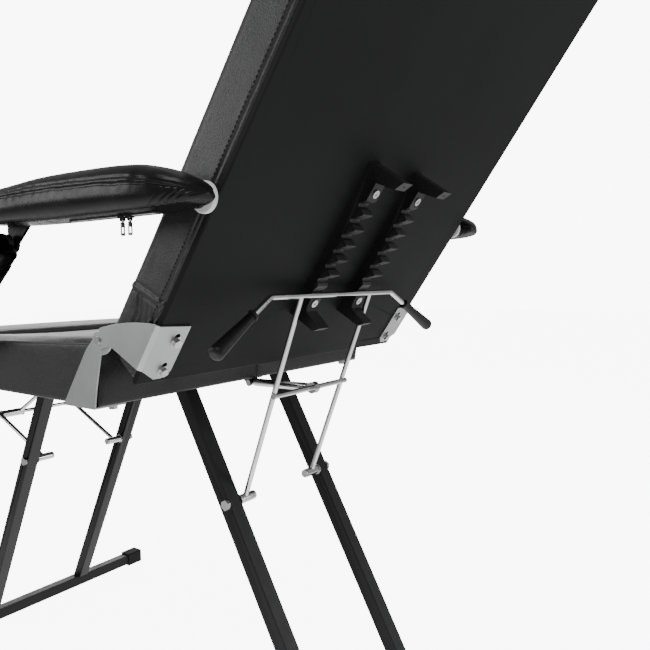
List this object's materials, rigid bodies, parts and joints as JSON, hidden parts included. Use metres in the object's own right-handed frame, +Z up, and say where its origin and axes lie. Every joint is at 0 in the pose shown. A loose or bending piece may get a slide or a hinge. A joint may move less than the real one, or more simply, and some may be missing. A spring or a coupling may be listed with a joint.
{
  "type": "reclining treatment chair",
  "caption": "Reclining tattoo chair with a padded seat, a backrest and leg rest on toothed racks and prop frames, level padded armrests and splayed tube legs.",
  "frame": {"origin": "on the floor, under the middle of the chair's box at rest", "axes": "+Z up; -Y the way the sitter faces; +X the sitter's left"},
  "size_m": [0.7712, 1.5306, 1.2951],
  "materials": {
    "upholstery": "satin, fine grain",
    "armrest_cover": "satin, fine grain",
    "post_cover": "satin, fine grain",
    "rear_cover": "matte",
    "plywood": "stained, matte",
    "frame_paint": "semi-gloss powder coat",
    "foot_rubber": "matte",
    "plate_steel": "satin",
    "bolt_steel": "zinc plated",
    "pin_chrome": "polished",
    "rack_plastic": "moulded, semi-matte",
    "prop_chrome": "polished",
    "stay_chrome": "polished",
    "grip_rubber": "semi-matte",
    "ring_plastic": "moulded, semi-gloss",
    "zip_plastic": "woven tape with moulded teeth"
  },
  "bodies": {
    "frame": {"seat_board": "plywood", "seat_cushion": "upholstery", "seat_side_rails": "frame_paint", "seat_cross_rails": "frame_paint", "rear_leg_left": "frame_paint", "rear_leg_right": "frame_paint", "front_leg_left": "frame_paint", "front_leg_right": "frame_paint", "foot_bars": "frame_paint", "foot_caps": "foot_rubber", "seat_hinge_plates": "plate_steel", "seat_plate_screws": "bolt_steel", "hinge_pins": "pin_chrome", "prop_bolts": "bolt_steel", "prop_bolt_washers": "bolt_steel", "stay_brackets": "frame_paint", "stay_pins": "pin_chrome", "arm_post_bolts": "bolt_steel"},
    "backrest": {"back_panel": "rear_cover", "back_cushion": "upholstery", "back_racks": "rack_plastic", "back_rack_screws": "bolt_steel", "back_hinge_plates": "plate_steel", "back_plate_bolts": "bolt_steel", "arm_pivot_rings": "ring_plastic", "arm_pivot_bolts": "bolt_steel"},
    "leg_rest": {"leg_panel": "rear_cover", "leg_cushion": "upholstery", "leg_racks": "rack_plastic", "leg_rack_screws": "bolt_steel", "leg_hinge_plates": "plate_steel", "leg_plate_bolts": "bolt_steel"},
    "back_prop": {"back_handle_bar": "prop_chrome", "back_prop_rods": "prop_chrome", "back_prop_crossbar": "prop_chrome", "back_grips": "grip_rubber", "back_stay_clips": "stay_chrome"},
    "leg_prop": {"leg_handle_bar": "prop_chrome", "leg_prop_rods": "prop_chrome", "leg_prop_crossbar": "prop_chrome", "leg_grips": "grip_rubber", "leg_stay_clips": "stay_chrome"},
    "back_stay_sleeve": {"back_stay_tube": "stay_chrome"},
    "back_stay_slider": {"back_stay_rod": "stay_chrome"},
    "leg_stay_sleeve": {"leg_stay_tube": "stay_chrome"},
    "leg_stay_slider": {"leg_stay_rod": "stay_chrome"},
    "armrest_left": {"arm_pad_left": "armrest_cover", "arm_rail_left": "frame_paint", "arm_zipper_left": "zip_plastic"},
    "post_left": {"arm_post_left": "frame_paint", "post_sleeve_left": "post_cover"},
    "pull_rear_left": {"zip_pull_rear_left": "pin_chrome"},
    "pull_front_left": {"zip_pull_front_left": "pin_chrome"},
    "armrest_right": {"arm_pad_right": "armrest_cover", "arm_rail_right": "frame_paint", "arm_zipper_right": "zip_plastic"},
    "post_right": {"arm_post_right": "frame_paint", "post_sleeve_right": "post_cover"},
    "pull_rear_right": {"zip_pull_rear_right": "pin_chrome"},
    "pull_front_right": {"zip_pull_front_right": "pin_chrome"}
  },
  "joints": [
    {"name": "back_recline", "type": "hinge", "parent": "frame", "child": "backrest", "pos_m": [0, 0.2603, 0.6674], "axis": [-1, 0, 0], "range_deg": [0, 50.57]},
    {"name": "back_prop_swing", "type": "hinge", "parent": "frame", "child": "back_prop", "pos_m": [0, 0.2956, 0.4114], "axis": [-1, 0, 0], "range_deg": [0, 36.66]},
    {"name": "back_stay_swing", "type": "hinge", "parent": "frame", "child": "back_stay_sleeve", "pos_m": [-0.004, 0.2341, 0.572], "axis": [-1, 0, 0], "range_deg": [0, 19.07]},
    {"name": "back_stay_slide", "type": "slide", "parent": "back_stay_sleeve", "child": "back_stay_slider", "axis": [0, 0.9999, 0.0124], "range_m": [0, 0.0966]},
    {"name": "leg_rest_tilt", "type": "hinge", "parent": "frame", "child": "leg_rest", "pos_m": [0, -0.2615, 0.6674], "axis": [-1, 0, 0], "range_deg": [0, 45.68]},
    {"name": "leg_prop_swing", "type": "hinge", "parent": "frame", "child": "leg_prop", "pos_m": [0, -0.2506, 0.392], "axis": [-1, 0, 0], "range_deg": [0, 34.62]},
    {"name": "leg_stay_swing", "type": "hinge", "parent": "frame", "child": "leg_stay_sleeve", "pos_m": [0.04, -0.2156, 0.572], "axis": [-1, 0, 0], "range_deg": [0, 15.84]},
    {"name": "leg_stay_slide", "type": "slide", "parent": "leg_stay_sleeve", "child": "leg_stay_slider", "axis": [0, -0.8673, -0.4978], "range_m": [-0.0914, 0]},
    {"name": "arm_swing_left", "type": "hinge", "parent": "backrest", "child": "armrest_left", "pos_m": [0.3, 0.45285, 0.82902], "axis": [-1, 0, 0], "range_deg": [-50.57, 0]},
    {"name": "post_swing_left", "type": "hinge", "parent": "frame", "child": "post_left", "pos_m": [0.325, -0.1017, 0.6319], "axis": [-1, 0, 0], "range_deg": [0, 50.57]},
    {"name": "pull_swing_rear_left", "type": "hinge", "parent": "armrest_left", "child": "pull_rear_left", "pos_m": [0.347, 0.38335, 0.80692], "axis": [-1, 0, 0], "range_deg": [-75, 15]},
    {"name": "pull_swing_front_left", "type": "hinge", "parent": "armrest_left", "child": "pull_front_left", "pos_m": [0.347, 0.37085, 0.80692], "axis": [-1, 0, 0], "range_deg": [-15, 75]},
    {"name": "arm_swing_right", "type": "hinge", "parent": "backrest", "child": "armrest_right", "pos_m": [-0.3, 0.45285, 0.82902], "axis": [-1, 0, 0], "range_deg": [-50.57, 0]},
    {"name": "post_swing_right", "type": "hinge", "parent": "frame", "child": "post_right", "pos_m": [-0.325, -0.1017, 0.6319], "axis": [-1, 0, 0], "range_deg": [0, 50.57]},
    {"name": "pull_swing_rear_right", "type": "hinge", "parent": "armrest_right", "child": "pull_rear_right", "pos_m": [-0.347, 0.38335, 0.80692], "axis": [-1, 0, 0], "range_deg": [-75, 15]},
    {"name": "pull_swing_front_right", "type": "hinge", "parent": "armrest_right", "child": "pull_front_right", "pos_m": [-0.347, 0.37085, 0.80692], "axis": [-1, 0, 0], "range_deg": [-15, 75]}
  ],
  "couplings": [
    {"joint": "back_prop_swing", "follows": "back_recline", "ratio": 0.7249},
    {"joint": "back_stay_swing", "follows": "back_recline", "ratio": 0.37696},
    {"joint": "back_stay_slide", "follows": "back_recline", "m_per_rad": 0.10936},
    {"joint": "leg_prop_swing", "follows": "leg_rest_tilt", "ratio": 0.7578},
    {"joint": "leg_stay_swing", "follows": "leg_rest_tilt", "ratio": 0.34672},
    {"joint": "leg_stay_slide", "follows": "leg_rest_tilt", "m_per_rad": -0.11459},
    {"joint": "arm_swing_left", "follows": "back_recline", "ratio": -1},
    {"joint": "post_swing_left", "follows": "back_recline", "ratio": 1},
    {"joint": "arm_swing_right", "follows": "back_recline", "ratio": -1},
    {"joint": "post_swing_right", "follows": "back_recline", "ratio": 1}
  ]
}
